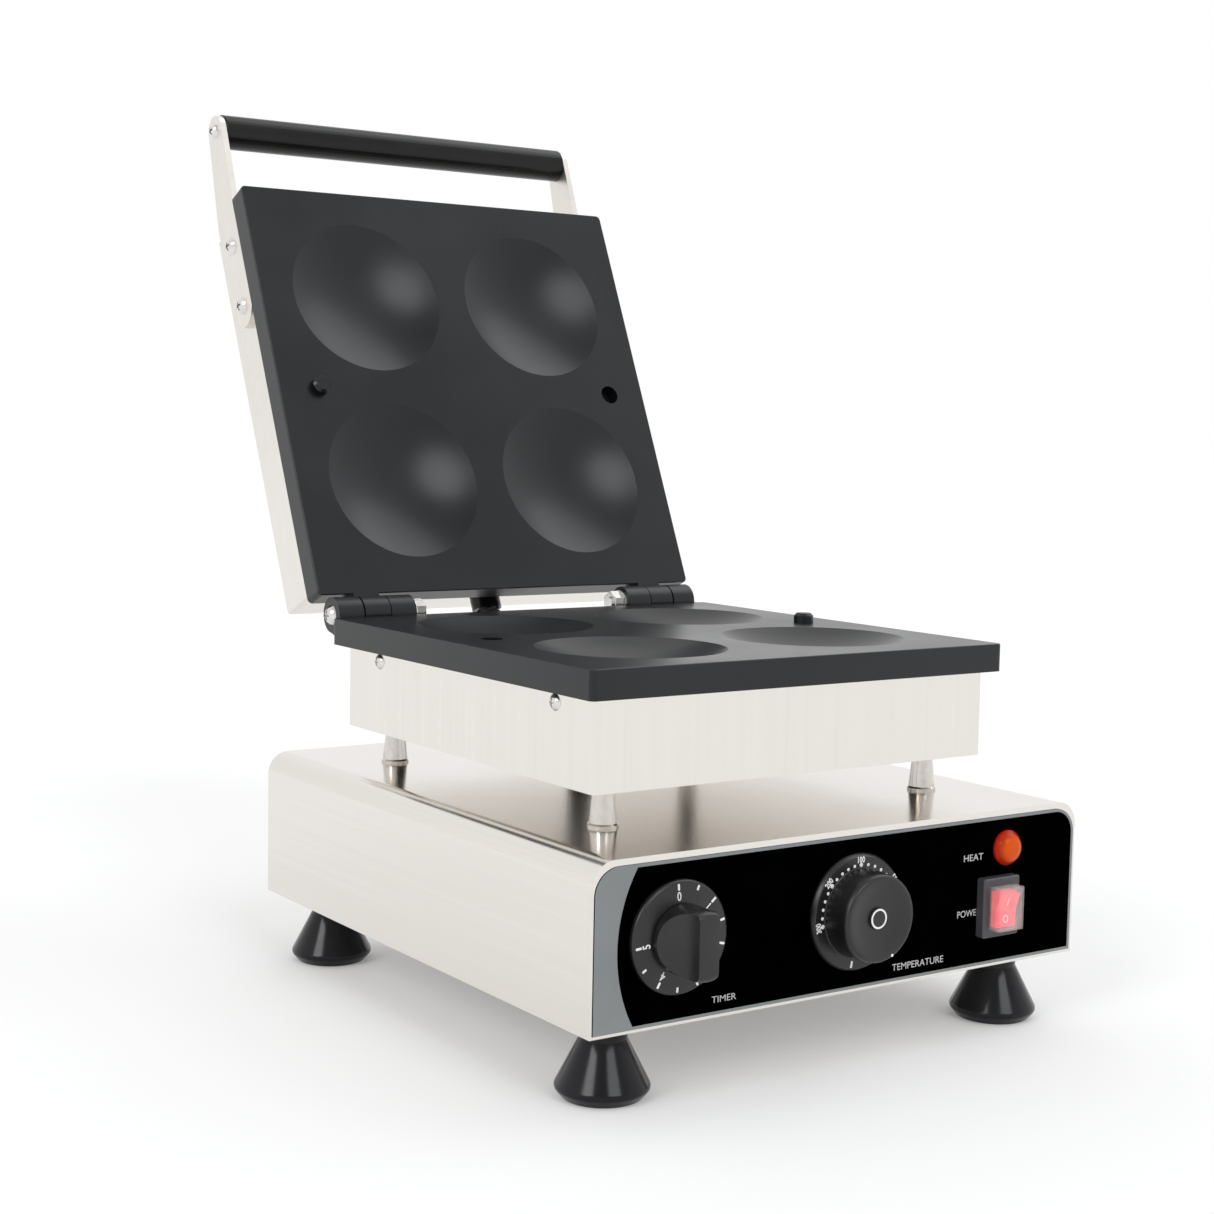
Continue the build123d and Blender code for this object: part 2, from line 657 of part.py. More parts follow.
def make_rocker():
    """The rocker, tilted so that its lower half is pressed in: switched off."""
    x, z = SWITCH
    half_w = POCKET[0] / 2 - 0.35
    pivot_y = FILM_FACE - BEZEL[2] + PIVOT_DEPTH
    tip, waist, reach = 7.4, 4.4, 8.6
    outline = [(pivot_y - tip, z + reach), (pivot_y - tip + 1.4, z), (pivot_y - tip, z - reach),
               (pivot_y, z - reach), (pivot_y + waist, z - reach + 3), (pivot_y + waist, z + reach - 3),
               (pivot_y, z + reach)]
    rocker = profile_x(outline, (x - half_w, x + half_w))
    rocker += rod_x(PIVOT_R, (x - half_w - 1.7, x + half_w + 1.7), pivot_y, z)
    return rocker.rotate(Axis((0, pivot_y, z), (1, 0, 0)), ROCKER_TILT)


def make_hood():
    """The clear hood over the rocker."""
    x, z = SWITCH
    w, h, out = HOOD
    skin = 0.8
    face = FILM_FACE - BEZEL[2]
    hood = block((x - w / 2, x + w / 2), (face - out, face), (z - h / 2, z + h / 2))
    hood = fillet(hood.edges().filter_by(Axis.Y) + hood.faces().sort_by(Axis.Y)[0].edges(), 0.6)
    return hood - block((x - w / 2 + skin, x + w / 2 - skin), (face - out + skin, face + 1),
                        (z - h / 2 + skin, z + h / 2 - skin))


# ------------------------------------------------------------------ wiring

def make_base_gland():
    """The gland on the base's top, where the conduit leaves."""
    cap = ring_z(GLAND_R, CONDUIT_R, *CONDUIT_BASE, (BASE_TOP, BASE_TOP + GLAND_H))
    return chamfer(cap.edges().filter_by(GeomType.CIRCLE).sort_by(Axis.Z)[-1], 0.8)


def make_lid_gland():
    """The gland on the rear wall of the lid's box, drawn shut."""
    rear = BOX_Y + BOX_SIDE / 2
    y = (rear, rear + GLAND_H)
    return rod_y(GLAND_R, 0, y, CONDUIT_LID_Z) - rod_y(CONDUIT_R, 0, y, CONDUIT_LID_Z)


def open_place(y, z):
    """Where a point of the shut lid goes when the lid is open."""
    turn = radians(-OPEN_ANGLE)
    arm_y, arm_z = y - HINGE_Y, z - PARTING
    return HINGE_Y + arm_y * cos(turn) - arm_z * sin(turn), PARTING + arm_y * sin(turn) + arm_z * cos(turn)


def conduit_route():
    """Corner points of the conduit with the lid open, from inside the base to inside the lid's box."""
    rear = BOX_Y + BOX_SIDE / 2
    x, y = CONDUIT_BASE
    return [(x, y, BASE_TOP - 2 * SHEET), (x, y, BASE_TOP + 30), (x - 12, y + 31, BASE_TOP + 44),
            (0, *open_place(rear + 21, CONDUIT_LID_Z)), (0, *open_place(rear - 3, CONDUIT_LID_Z))]


def bend_radii(points):
    """As large a radius at each corner of a route as its two runs allow."""
    runs = [Vector(*after) - Vector(*before) for before, after in zip(points, points[1:])]
    pairs = zip(runs, runs[1:])
    return [0.45 * min(a.length, b.length) / tan(radians(a.get_angle(b)) / 2) for a, b in pairs]


def make_conduit():
    """The flexible sleeve along its route."""
    route = conduit_route()
    radii = bend_radii(route)
    sleeve = tube(route, CONDUIT_R, radii)
    print("conduit radii", [round(radius, 1) for radius in radii])
    return sleeve


def make_cord_gland():
    """The gland in the rear panel for the supply cord, with its nut inside."""
    x, z = CORD_GLAND
    shell = rod_y(11.0, x, (REAR, REAR + 12), z) + rod_y(CORD_GLAND_R, x, (REAR - 12, REAR), z)
    shell = fillet(shell.edges().filter_by(GeomType.CIRCLE).sort_by(Axis.Y)[-1], 1.5)
    return shell - rod_y(4.2, x, (REAR - 13, REAR + 13), z)


def make_cord_gland_nut():
    """The nut inside the rear panel."""
    return Pos(CORD_GLAND[0], REAR - SHEET, CORD_GLAND[1]) * Rot(90, 0, 0) * hex_nut(20, 5, CORD_GLAND_R)


def make_terminals():
    """The terminal block on the pan, with a row of screw wells."""
    floor = BASE_BOTTOM + SHEET
    strip = block((20, 80), (118, 136), (floor, floor + 16))
    for index in range(5):
        strip -= rod_z(2.4, 26 + index * 12, 127, (floor + 8, floor + 17))
    return strip


def make_leads():
    """The main leads inside the base, from the terminal block to the controls."""
    floor = BASE_BOTTOM + SHEET
    start_y, start_z, lead_r = 118.0, floor + 6, 1.6
    runs = [(26, SWITCH[0] - 3, WALL + 31, SWITCH[1], 0.0),
            (38, THERMOSTAT[0] + 8, WALL + 30, THERMOSTAT[1], 6.0),
            (50, TIMER[0] + 8, WALL + 34, TIMER[1], 12.0)]
    leads = []
    for x, end_x, end_y, end_z, back in runs:
        cross = 60.0 - 3 * back
        points = [(x, start_y, start_z), (x, cross, start_z), (end_x, cross - 30, start_z + back),
                  (end_x, end_y + 20, start_z + back), (end_x, end_y + 12, end_z), (end_x, end_y, end_z)]
        leads.append(tube(points, lead_r, 5))
    return leads


def make_bulb():
    """The thermostat's sensing bulb under the lower plate and its capillary down into the base."""
    z = PLATE_BOTTOM - 3.1
    x, y = -STANDOFF_X, STANDOFF_Y[0]
    bulb = rod_y(3.0, 0, (-95, -32), z)
    points = [(0, -95, z), (0, -112, z), (0, -112, z - 24), (x, y, z - 24), (x, y, BASE_TOP - 16),
              (THERMOSTAT[0], WALL + 15, BASE_TOP - 16), (THERMOSTAT[0], WALL + 15, THERMOSTAT[1] + 18)]
    return bulb + tube(points, 1.0, 4)


def make_all():
    """Write every node."""
    save("base_cover", make_base_cover())
    save("front_panel", make_front_panel())
    save("control_film", make_film())
    save("rear_panel", make_rear_panel())
    save("bottom_pan", make_pan())
    save("feet", *[place * make_foot() for place in foot_places()])
    save("foot_screws", *[place * make_foot_screw() for place in foot_places()])
    save("foot_nuts", *[place * make_foot_nut() for place in foot_places()])
    save("standoffs", *[place * make_standoff() for place in standoff_places()])
    save("standoff_nipples", *[place * make_nipple() for place in standoff_places()])
    save("standoff_nuts", *[place * nut for place in standoff_places() for nut in make_nipple_nuts()])

    save("box_lower", make_box_lower())
    save("plate_lower", make_plate(1, [INNER_KNUCKLE, OUTER_KNUCKLE], LOWER_SPOTS))
    save("dowel_lower", make_dowel(1))
    save("element_lower", make_element())
    save("clamp_lower", make_clamp())
    save("clamp_screws_lower", *make_clamp_screws())
    save("wool_lower", make_wool(CLAMP_TOP - CLAMP_T - 4, BOX_BOTTOM + SHEET))
    save("box_screws_lower", *side_screws(LOWER_SPOTS, 4.3, 2.4, BOX_SIDE / 2, 7.5))

    save("hinge_bolts", *both(make_hinge_bolt()))
    save("hinge_nuts", *both(make_hinge_nut()))
    save("hinge_washers", *both(make_hinge_washer()))

    save("box_upper", swing(make_box_upper()))
    save("plate_upper", swing(make_plate_upper()))
    save("dowel_upper", swing(flipped(make_dowel(-1))))
    save("element_upper", swing(flipped(make_element())))
    save("clamp_upper", swing(flipped(make_clamp())))
    save("clamp_screws_upper", *[swing(flipped(screw)) for screw in make_clamp_screws()])
    wool_bottom = 2 * PARTING - LID_HEIGHT + SHEET
    save("wool_upper", swing(flipped(make_wool(CLAMP_TOP - CLAMP_T - 4, wool_bottom))))
    rear_screws = side_screws(LID_REAR_SPOTS, 4.3, 2.4, BOX_SIDE / 2, 7.5)
    save("box_screws_upper", *[swing(flipped(screw)) for screw in rear_screws])
    arm_screws = side_screws(ARM_SPOTS, 5.5, 3.2, BOX_SIDE / 2 + ARM_T, 11.0)
    save("arm_screws", *[swing(flipped(screw)) for screw in arm_screws])
    save("arm_right", swing(make_arm()))
    save("arm_left", swing(mirrored(make_arm())))
    save("grip", swing(make_grip()))
    save("grip_rod", swing(make_grip_rod()))
    save("grip_screws", *[swing(screw) for screw in both(make_grip_screw())])

    save("thermostat_knob", make_thermostat_knob())
    save("thermostat_shaft", make_shaft(THERMOSTAT))
    save("thermostat_body", make_control_body(THERMOSTAT, 36, 30))
    save("sensor_bulb", make_bulb())
    save("timer_knob", make_timer_knob())
    save("timer_dial", make_timer_dial())
    save("timer_shaft", make_shaft(TIMER))
    save("timer_body", make_control_body(TIMER, 44, 34))
    save("lamp_lens", make_lamp_lens())
    save("lamp_body", make_lamp_body())
    save("lamp_nut", make_lamp_nut())
    save("switch_body", make_switch_body())
    save("switch_rocker", make_rocker())
    save("switch_hood", make_hood())

    save("gland_base", make_base_gland())
    save("gland_lid", swing(make_lid_gland()))
    save("conduit", make_conduit())
    save("cord_gland", make_cord_gland())
    save("cord_gland_nut", make_cord_gland_nut())
    save("terminal_block", make_terminals())
    save("leads", *make_leads())


make_all()
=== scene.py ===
from math import atan2, cos, degrees, pi, radians, sin

import bpy
from mathutils import Matrix, Vector


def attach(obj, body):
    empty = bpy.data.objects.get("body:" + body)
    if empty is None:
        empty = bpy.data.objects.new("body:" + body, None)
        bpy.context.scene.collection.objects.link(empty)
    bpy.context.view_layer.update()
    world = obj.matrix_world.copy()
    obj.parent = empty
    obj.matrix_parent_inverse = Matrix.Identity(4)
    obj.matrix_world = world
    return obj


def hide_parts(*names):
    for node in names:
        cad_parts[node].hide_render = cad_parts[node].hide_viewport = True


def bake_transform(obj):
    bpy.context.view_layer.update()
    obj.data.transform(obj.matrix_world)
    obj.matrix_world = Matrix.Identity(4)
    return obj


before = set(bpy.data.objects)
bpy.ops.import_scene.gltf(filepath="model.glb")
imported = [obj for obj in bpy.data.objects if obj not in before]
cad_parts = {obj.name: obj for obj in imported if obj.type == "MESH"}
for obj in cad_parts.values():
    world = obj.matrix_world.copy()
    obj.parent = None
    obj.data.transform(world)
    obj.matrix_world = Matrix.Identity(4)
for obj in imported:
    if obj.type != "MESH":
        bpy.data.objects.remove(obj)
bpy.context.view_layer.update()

MM = 0.001

# Positions and sizes that the carried-over nodes also have, in millimetres and degrees
FILM_FACE = -165.4
FILM_HALF = 148.5
FILM_LOW, FILM_HIGH = 38.5, 113.0
FILM_CORNER = 13.0
TIMER = (-103.8, 77.7)
THERMOSTAT = (0.6, 76.4)
LAMP = (100.4, 96.8)
LAMP_R = 8.7
SWITCH = (93.8, 68.2)
ROCKER_PIVOT_Y = -167.4
ROCKER_TILT = 9.0
SKIRT_OUT = 4.0
DIAL_OUT = 3.2
CAP_OUT = 17.6
CONDUIT_R = 6.25
CONDUIT_ROUTE = [(50, 144.5, 114), (50, 144.5, 146), (38, 175.5, 160), (0, 171.8, 179.7), (0, 181.7, 201.6)]

# Finishes
WHITE = (1, 1, 1)
EVEN = (1, 1, 1)
STEEL_DARK = (0.745, 0.710, 0.668)
STEEL_LIGHT = (0.795, 0.758, 0.715)

# Printed marks, in millimetres
MARK_LIFT = 0.1
CAPITAL_PART = 0.72
FIGURE_NARROWING = 0.82
SMOOTH_EDGE = 35


# ------------------------------------------------------------------ camera, floor and light

def make_camera():
    """A long-lens view from the front left, a little above the plates."""
    turn, height, roll = -0.59894, 0.09147, 0.01847
    data = bpy.data.cameras.new("view")
    data.lens = 59.954
    data.sensor_width = 36.0
    data.clip_start = 0.01
    camera = bpy.data.objects.new("view", data)
    bpy.context.scene.collection.objects.link(camera)
    aim = Matrix.Rotation(turn, 4, "Z") @ Matrix.Rotation(pi / 2 - height, 4, "X")
    place = Matrix.Translation((-0.6316, -0.8782, 0.3062))
    camera.matrix_world = place @ aim @ Matrix.Rotation(roll, 4, "Z")
    bpy.context.scene.camera = camera


def far_light(name, towards, power, spread, tint=WHITE):
    """A wide far light that comes from a direction; spread is its width in degrees."""
    data = bpy.data.lights.new(name, "SUN")
    data.energy = power
    data.angle = radians(spread)
    data.color = tint
    light = bpy.data.objects.new(name, data)
    bpy.context.scene.collection.objects.link(light)
    light.rotation_euler = Vector(towards).to_track_quat("Z", "Y").to_euler()


def make_floor():
    """A pale floor that glows a little, so that it stays white near the machine."""
    bpy.ops.mesh.primitive_plane_add(size=30, location=(0, 0, 0))
    floor = bpy.context.object
    floor.name = "floor"
    surface, nodes, links, shader = new_material("pale_floor")
    shader.inputs["Base Color"].default_value = (0.7, 0.7, 0.7, 1)
    shader.inputs["Roughness"].default_value = 0.9
    shader.inputs["Emission Color"].default_value = (*WHITE, 1)
    shader.inputs["Emission Strength"].default_value = 0.17
    floor.data.materials.append(surface)


def make_sky():
    """A white sky, dimmer round one direction high in front."""
    world = bpy.data.worlds.new("studio")
    bpy.context.scene.world = world
    world.use_nodes = True
    nodes, links = world.node_tree.nodes, world.node_tree.links
    sky = nodes["Background"]
    sky.inputs["Color"].default_value = (*WHITE, 1)
    direction = nodes.new("ShaderNodeTexCoord")
    nearness = nodes.new("ShaderNodeVectorMath")
    nearness.operation = "DOT_PRODUCT"
    nearness.inputs[1].default_value = (-0.2, -0.6, 0.775)
    links.new(direction.outputs["Generated"], nearness.inputs[0])
    strength = remap(nodes, links, nearness.outputs["Value"], low=1.0, high=0.6, start=0.5, end=0.95)
    links.new(strength, sky.inputs["Strength"])


def make_studio():
    """The floor, the sky and three wide soft lights."""
    bpy.context.scene.view_settings.view_transform = "Standard"
    make_floor()
    make_sky()
    cool = (0.95, 0.975, 1.0)
    far_light("over", (0.60, -0.03, 0.80), power=0.45, spread=40, tint=cool)
    far_light("front", (0.0, -0.79, 0.62), power=0.7, spread=28, tint=cool)
    far_light("left", (-0.80, -0.25, 0.55), power=0.8, spread=24)


# ------------------------------------------------------------------ materials

def new_material(name):
    """A material with its node tree, links and shader at hand."""
    surface = bpy.data.materials.new(name)
    surface.use_nodes = True
    tree = surface.node_tree
    return surface, tree.nodes, tree.links, tree.nodes["Principled BSDF"]


def pattern(nodes, links, scale, noise_scale, detail=4.0, roughness=0.6):
    """Noise on the object's own coordinates, made finer by a scale for each axis."""
    place = nodes.new("ShaderNodeTexCoord")
    stretch = nodes.new("ShaderNodeMapping")
    stretch.inputs["Scale"].default_value = scale
    noise = nodes.new("ShaderNodeTexNoise")
    noise.inputs["Scale"].default_value = noise_scale
    noise.inputs["Detail"].default_value = detail
    noise.inputs["Roughness"].default_value = roughness
    links.new(place.outputs["Object"], stretch.inputs["Vector"])
    links.new(stretch.outputs["Vector"], noise.inputs["Vector"])
    return noise.outputs["Fac"]


def remap(nodes, links, source, low, high, start=0.3, end=0.7):
    """A value that goes from low to high as the source goes from start to end."""
    spread = nodes.new("ShaderNodeMapRange")
    spread.inputs["From Min"].default_value = start
    spread.inputs["From Max"].default_value = end
    spread.inputs["To Min"].default_value = low
    spread.inputs["To Max"].default_value = high
    links.new(source, spread.inputs["Value"])
    return spread.outputs["Result"]


def tones(nodes, links, source, dark, light, start=0.35, end=0.65):
    """A colour that goes from dark to light as the source goes from start to end."""
    ramp = nodes.new("ShaderNodeValToRGB")
    ramp.color_ramp.elements[0].position = start
    ramp.color_ramp.elements[0].color = (*dark, 1)
    ramp.color_ramp.elements[1].position = end
    ramp.color_ramp.elements[1].color = (*light, 1)
    links.new(source, ramp.inputs["Fac"])
    return ramp.outputs["Color"]


def relief(nodes, links, shader, source, depth, strength=1.0):
    """Bump of a given depth in metres on a shader."""
    bump = nodes.new("ShaderNodeBump")
    bump.inputs["Strength"].default_value = strength
    bump.inputs["Distance"].default_value = depth
    links.new(source, bump.inputs["Height"])
    links.new(bump.outputs["Normal"], shader.inputs["Normal"])


def from_centre(nodes, links, spot, reach):
    """Distance from an axis along Y through a spot, as a part of a reach in millimetres."""
    place = nodes.new("ShaderNodeTexCoord")
    shift = nodes.new("ShaderNodeVectorMath")
    shift.operation = "SUBTRACT"
    shift.inputs[1].default_value = (spot[0] * MM, 0, spot[1] * MM)
    flat = nodes.new("ShaderNodeVectorMath")
    flat.operation = "MULTIPLY"
    flat.inputs[1].default_value = (1 / (reach * MM), 0, 1 / (reach * MM))
    length = nodes.new("ShaderNodeVectorMath")
    length.operation = "LENGTH"
    links.new(place.outputs["Object"], shift.inputs[0])
    links.new(shift.outputs["Vector"], flat.inputs[0])
    links.new(flat.outputs["Vector"], length.inputs[0])
    return length.outputs["Value"]


def brushed_sheet(name, grain, rough=0.12):
    """Brushed stainless sheet; grain is the fineness of its lines for each axis."""
    surface, nodes, links, shader = new_material(name)
    lines = pattern(nodes, links, grain, 1.0, 6.0, 0.7)
    clouds = pattern(nodes, links, EVEN, 9.0, 3.0, 0.5)
    links.new(tones(nodes, links, lines, STEEL_DARK, STEEL_LIGHT, 0.25, 0.75), shader.inputs["Base Color"])
    blend = nodes.new("ShaderNodeMath")
    blend.operation = "ADD"
    links.new(remap(nodes, links, lines, rough, rough + 0.05), blend.inputs[0])
    links.new(remap(nodes, links, clouds, 0.0, 0.04), blend.inputs[1])
    links.new(blend.outputs["Value"], shader.inputs["Roughness"])
    shader.inputs["Metallic"].default_value = 1.0
    relief(nodes, links, shader, lines, 0.000004, 0.15)
    return surface


def bright_plate(name, tone, rough):
    """Bright plated or turned metal with faint handling marks."""
    surface, nodes, links, shader = new_material(name)
    marks = pattern(nodes, links, EVEN, 240.0, 5.0, 0.65)
    lighter = tuple(min(1.0, part * 1.12) for part in tone)
    links.new(tones(nodes, links, marks, tone, lighter), shader.inputs["Base Color"])
    links.new(remap(nodes, links, marks, rough, rough + 0.10), shader.inputs["Roughness"])
    shader.inputs["Metallic"].default_value = 1.0
    return surface


def coated_casting(name):
    """Dark non-stick coating over fine cast aluminium."""
    surface, nodes, links, shader = new_material(name)
    grit = pattern(nodes, links, EVEN, 1500.0, 3.0, 0.6)
    clouds = pattern(nodes, links, EVEN, 14.0, 4.0, 0.55)
    links.new(tones(nodes, links, clouds, (0.0020, 0.0030, 0.0042), (0.0040, 0.0052, 0.0065)),
              shader.inputs["Base Color"])
    links.new(remap(nodes, links, clouds, 0.27, 0.34), shader.inputs["Roughness"])
    shader.inputs["Specular IOR Level"].default_value = 0.42
    relief(nodes, links, shader, grit, 0.00004, 0.3)
    return surface


def moulded_plastic(name, dark, light, rough, grit=900.0, depth=0.00003, strength=0.3, gloss=0.5, painted_glow=0.0):
    """Moulded plastic or rubber with slight changes of tone; grit, depth and strength make its texture, and a
    glow above zero is painted light: emission in the light tone.
    """
    surface, nodes, links, shader = new_material(name)
    skin = pattern(nodes, links, EVEN, grit, 3.0, 0.6)
    clouds = pattern(nodes, links, EVEN, 35.0, 3.0, 0.5)
    links.new(tones(nodes, links, clouds, dark, light), shader.inputs["Base Color"])
    links.new(remap(nodes, links, clouds, rough, rough + 0.08), shader.inputs["Roughness"])
    shader.inputs["Specular IOR Level"].default_value = gloss
    shader.inputs["Emission Color"].default_value = (*light, 1)
    shader.inputs["Emission Strength"].default_value = painted_glow
    relief(nodes, links, shader, skin, depth, strength)
    return surface


def clear_plastic(name):
    """Thin clear plastic, a little cloudy and paler where it is seen edge on."""
    surface, nodes, links, shader = new_material(name)
    haze = pattern(nodes, links, EVEN, 160.0, 4.0, 0.6)
    links.new(tones(nodes, links, haze, (0.70, 0.66, 0.63), (0.90, 0.88, 0.86)),
              shader.inputs["Base Color"])
    links.new(remap(nodes, links, haze, 0.04, 0.12), shader.inputs["Roughness"])
    edge = nodes.new("ShaderNodeLayerWeight")
    edge.inputs["Blend"].default_value = 0.35
    alpha = remap(nodes, links, edge.outputs["Facing"], low=0.05, high=0.50, start=0.0, end=1.0)
    links.new(alpha, shader.inputs["Alpha"])
    relief(nodes, links, shader, haze, 0.00008, 0.25)
    return surface


def lamp_plastic(name):
    """Amber lens, brighter in the middle and redder at its rim."""
    surface, nodes, links, shader = new_material(name)
    distance = from_centre(nodes, links, LAMP, LAMP_R)
    ridges = pattern(nodes, links, EVEN, 420.0, 3.0, 0.5)
    colour = tones(nodes, links, distance, (0.56, 0.070, 0.002), (0.34, 0.010, 0.002), 0.60, 0.95)
    links.new(colour, shader.inputs["Base Color"])
    links.new(remap(nodes, links, ridges, 0.08, 0.2), shader.inputs["Roughness"])
    links.new(colour, shader.inputs["Emission Color"])
    shader.inputs["Emission Strength"].default_value = 0.05
    shader.inputs["Specular IOR Level"].default_value = 0.15
    relief(nodes, links, shader, ridges, 0.0002, 0.5)
    return surface


def white_print(name):
    """White printing ink, slightly uneven."""
    return moulded_plastic(name, (0.74, 0.74, 0.73), (0.86, 0.86, 0.85), 0.5,
                           grit=1400.0, depth=0.00001, strength=0.2)


def paint_nodes(surface, *names):
    """Give carried-over nodes a material on all their slots."""
    for name in names:
        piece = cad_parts[name]
        if not piece.material_slots:
            piece.data.materials.append(surface)
        for place in piece.material_slots:
            place.material = surface


def finish_metals():
    """The sheet, plated and cast nodes."""
    paint_nodes(brushed_sheet("cover_steel", (260, 3, 260)), "base_cover")
    paint_nodes(brushed_sheet("panel_steel", (3, 260, 260)), "front_panel", "rear_panel")
    paint_nodes(brushed_sheet("box_steel", (260, 260, 3)), "box_lower", "bottom_pan")
    paint_nodes(brushed_sheet("lid_steel", (3, 200, 90)), "box_upper")
    paint_nodes(brushed_sheet("arm_metal", (3, 120, 60), rough=0.3),
                "arm_left", "arm_right", "clamp_lower", "clamp_upper")
    paint_nodes(bright_plate("plated_screws", (0.66, 0.65, 0.63), rough=0.16),
                "foot_screws", "foot_nuts", "standoff_nipples", "standoff_nuts",
                "clamp_screws_lower", "clamp_screws_upper", "box_screws_lower", "box_screws_upper",
                "hinge_bolts", "hinge_nuts", "hinge_washers", "arm_screws", "grip_rod", "grip_screws",
                "thermostat_shaft", "timer_shaft", "sensor_bulb")
    paint_nodes(bright_plate("plated_spacers", (0.60, 0.57, 0.53), rough=0.10), "standoffs")
    paint_nodes(coated_casting("nonstick"), "plate_lower", "plate_upper", "dowel_lower", "dowel_upper")


def finish_plastics():
    """The plastic, rubber and mineral nodes."""
    paint_nodes(moulded_plastic("black_foot", (0.0012, 0.0013, 0.003), (0.0025, 0.0027, 0.005), 0.14,
                                grit=300.0, gloss=0.3),
                "feet")
    paint_nodes(moulded_plastic("film_black", (0.0002, 0.0002, 0.0002), (0.0005, 0.0005, 0.0005), 0.45,
                                gloss=0.0),
                "control_film")
    paint_nodes(moulded_plastic("grip_black", (0.002, 0.002, 0.002), (0.004, 0.004, 0.004), 0.22, gloss=0.3),
                "grip", "gland_base", "gland_lid", "cord_gland", "cord_gland_nut", "lamp_nut")
    paint_nodes(moulded_plastic("bezel_grey", (0.042, 0.042, 0.047), (0.054, 0.054, 0.059), 0.3, gloss=0.45),
                "switch_body", "thermostat_body", "timer_body", "lamp_body")
    # The rocker's glow is painted light: emission in its pale red makes it brighter than the lamps alone
    # light it.
    paint_nodes(moulded_plastic("rocker_red", (0.90, 0.045, 0.075), (0.96, 0.075, 0.11), 0.25, painted_glow=0.25),
                "switch_rocker")
    paint_nodes(clear_plastic("hood_clear"), "switch_hood")
    paint_nodes(moulded_plastic("stained_sheath", (0.1, 0.09, 0.08), (0.2, 0.18, 0.16), 0.4),
                "element_lower", "element_upper")
    paint_nodes(moulded_plastic("wool", (0.5, 0.45, 0.32), (0.62, 0.57, 0.44), 0.9,
                                grit=400.0, depth=0.0005, strength=1.0),
                "wool_lower", "wool_upper")
    paint_nodes(moulded_plastic("ceramic", (0.75, 0.73, 0.68), (0.82, 0.8, 0.75), 0.5), "terminal_block")
    paint_nodes(moulded_plastic("lead_sleeve", (0.4, 0.33, 0.22), (0.5, 0.42, 0.3), 0.6), "leads")


# ------------------------------------------------------------------ shaping

def pick(piece):
    """Make one piece the only selected and active one."""
    bpy.ops.object.select_all(action="DESELECT")
    piece.select_set(True)
    bpy.context.view_layer.objects.active = piece


def settle(piece, place):
    """Move a piece by a matrix and keep the move in its mesh."""
    piece.matrix_world = place @ piece.matrix_world
    pick(piece)
    bpy.ops.object.transform_apply(location=True, rotation=True, scale=True)
    return piece


def finished(piece, name, surface, body, slot, *nodes):
    """Name, paint and attach a piece; nodes are the ones that it stands for."""
    piece.name = piece.data.name = name
    piece.data.materials.clear()
    piece.data.materials.append(surface)
    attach(piece, body)
    if nodes:
        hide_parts(*nodes)
    return piece


def turned(steps, count=96):
    """A body turned about Z: steps are (radius, height), closed at both ends."""
    bpy.ops.object.select_all(action="DESELECT")
    radius, height = steps[0]
    bpy.ops.mesh.primitive_circle_add(vertices=count, radius=radius * MM, fill_type="NGON",
                                      location=(0, 0, height * MM))
    piece = bpy.context.object
    settle(piece, Matrix.Identity(4))
    bpy.ops.object.mode_set(mode="EDIT")
    bpy.ops.mesh.select_mode(type="FACE")
    bpy.ops.mesh.select_all(action="SELECT")
    for wide, high in steps[1:]:
        bpy.ops.mesh.extrude_region_move(TRANSFORM_OT_translate={"value": (0, 0, (high - height) * MM)})
        bpy.ops.transform.resize(value=(wide / radius, wide / radius, 1), center_override=(0, 0, high * MM))
        radius, height = wide, high
    bpy.ops.mesh.select_all(action="SELECT")
    bpy.ops.mesh.normals_make_consistent(inside=False)
    bpy.ops.object.mode_set(mode="OBJECT")
    bpy.ops.object.shade_smooth_by_angle(angle=radians(SMOOTH_EDGE))
    return piece


def out_of_film(spot, out=0.0, turn=0.0):
    """The place of a piece made flat about Z: facing out of the film, turned clockwise in front view."""
    move = Matrix.Translation((spot[0] * MM, (FILM_FACE - out) * MM, spot[1] * MM))
    return move @ Matrix.Rotation(pi / 2, 4, "X") @ Matrix.Rotation(-radians(turn), 4, "Z")


def at(x, y):
    """A move in the plane, in millimetres."""
    return Matrix.Translation((x * MM, y * MM, 0))


def figures(text, height, place, width=None, weight=0.0):
    """Raised figures centred on a place; width is their whole length where that is fixed."""
    bpy.ops.object.select_all(action="DESELECT")
    bpy.ops.object.text_add(location=(0, 0, 0))
    piece = bpy.context.object
    piece.data.body = text
    piece.data.size = height * MM / CAPITAL_PART
    piece.data.extrude = MARK_LIFT * MM
    piece.data.offset = weight * MM
    piece.data.resolution_u = 3
    bpy.ops.object.convert(target="MESH")
    piece = bpy.context.object
    corners = [Vector(corner) for corner in piece.bound_box]
    low, high = corners[0], corners[6]
    narrowing = FIGURE_NARROWING if width is None else width * MM / (high.x - low.x)
    to_middle = Matrix.Translation((-(low.x + high.x) / 2, -(low.y + high.y) / 2, 0))
    return settle(piece, place @ Matrix.Diagonal((narrowing, 1, 1, 1)) @ to_middle)


def bar(width, length, place):
    """A short raised stroke with rounded corners, lengthwise outwards."""
    bpy.ops.object.select_all(action="DESELECT")
    bpy.ops.mesh.primitive_cube_add(size=1, scale=(width * MM, length * MM, 2 * MARK_LIFT * MM))
    piece = bpy.context.object
    settle(piece, Matrix.Identity(4))
    bpy.ops.object.mode_set(mode="EDIT")
    bpy.ops.mesh.select_mode(type="EDGE")
    bpy.ops.mesh.select_all(action="DESELECT")
    bpy.ops.object.mode_set(mode="OBJECT")
    for edge in piece.data.edges:
        ends = [piece.data.vertices[index].co for index in edge.vertices]
        edge.select = abs(ends[0].z - ends[1].z) > MARK_LIFT * MM
    bpy.ops.object.mode_set(mode="EDIT")
    bpy.ops.mesh.bevel(offset=0.25 * MM, segments=3)
    bpy.ops.object.mode_set(mode="OBJECT")
    return settle(piece, place)


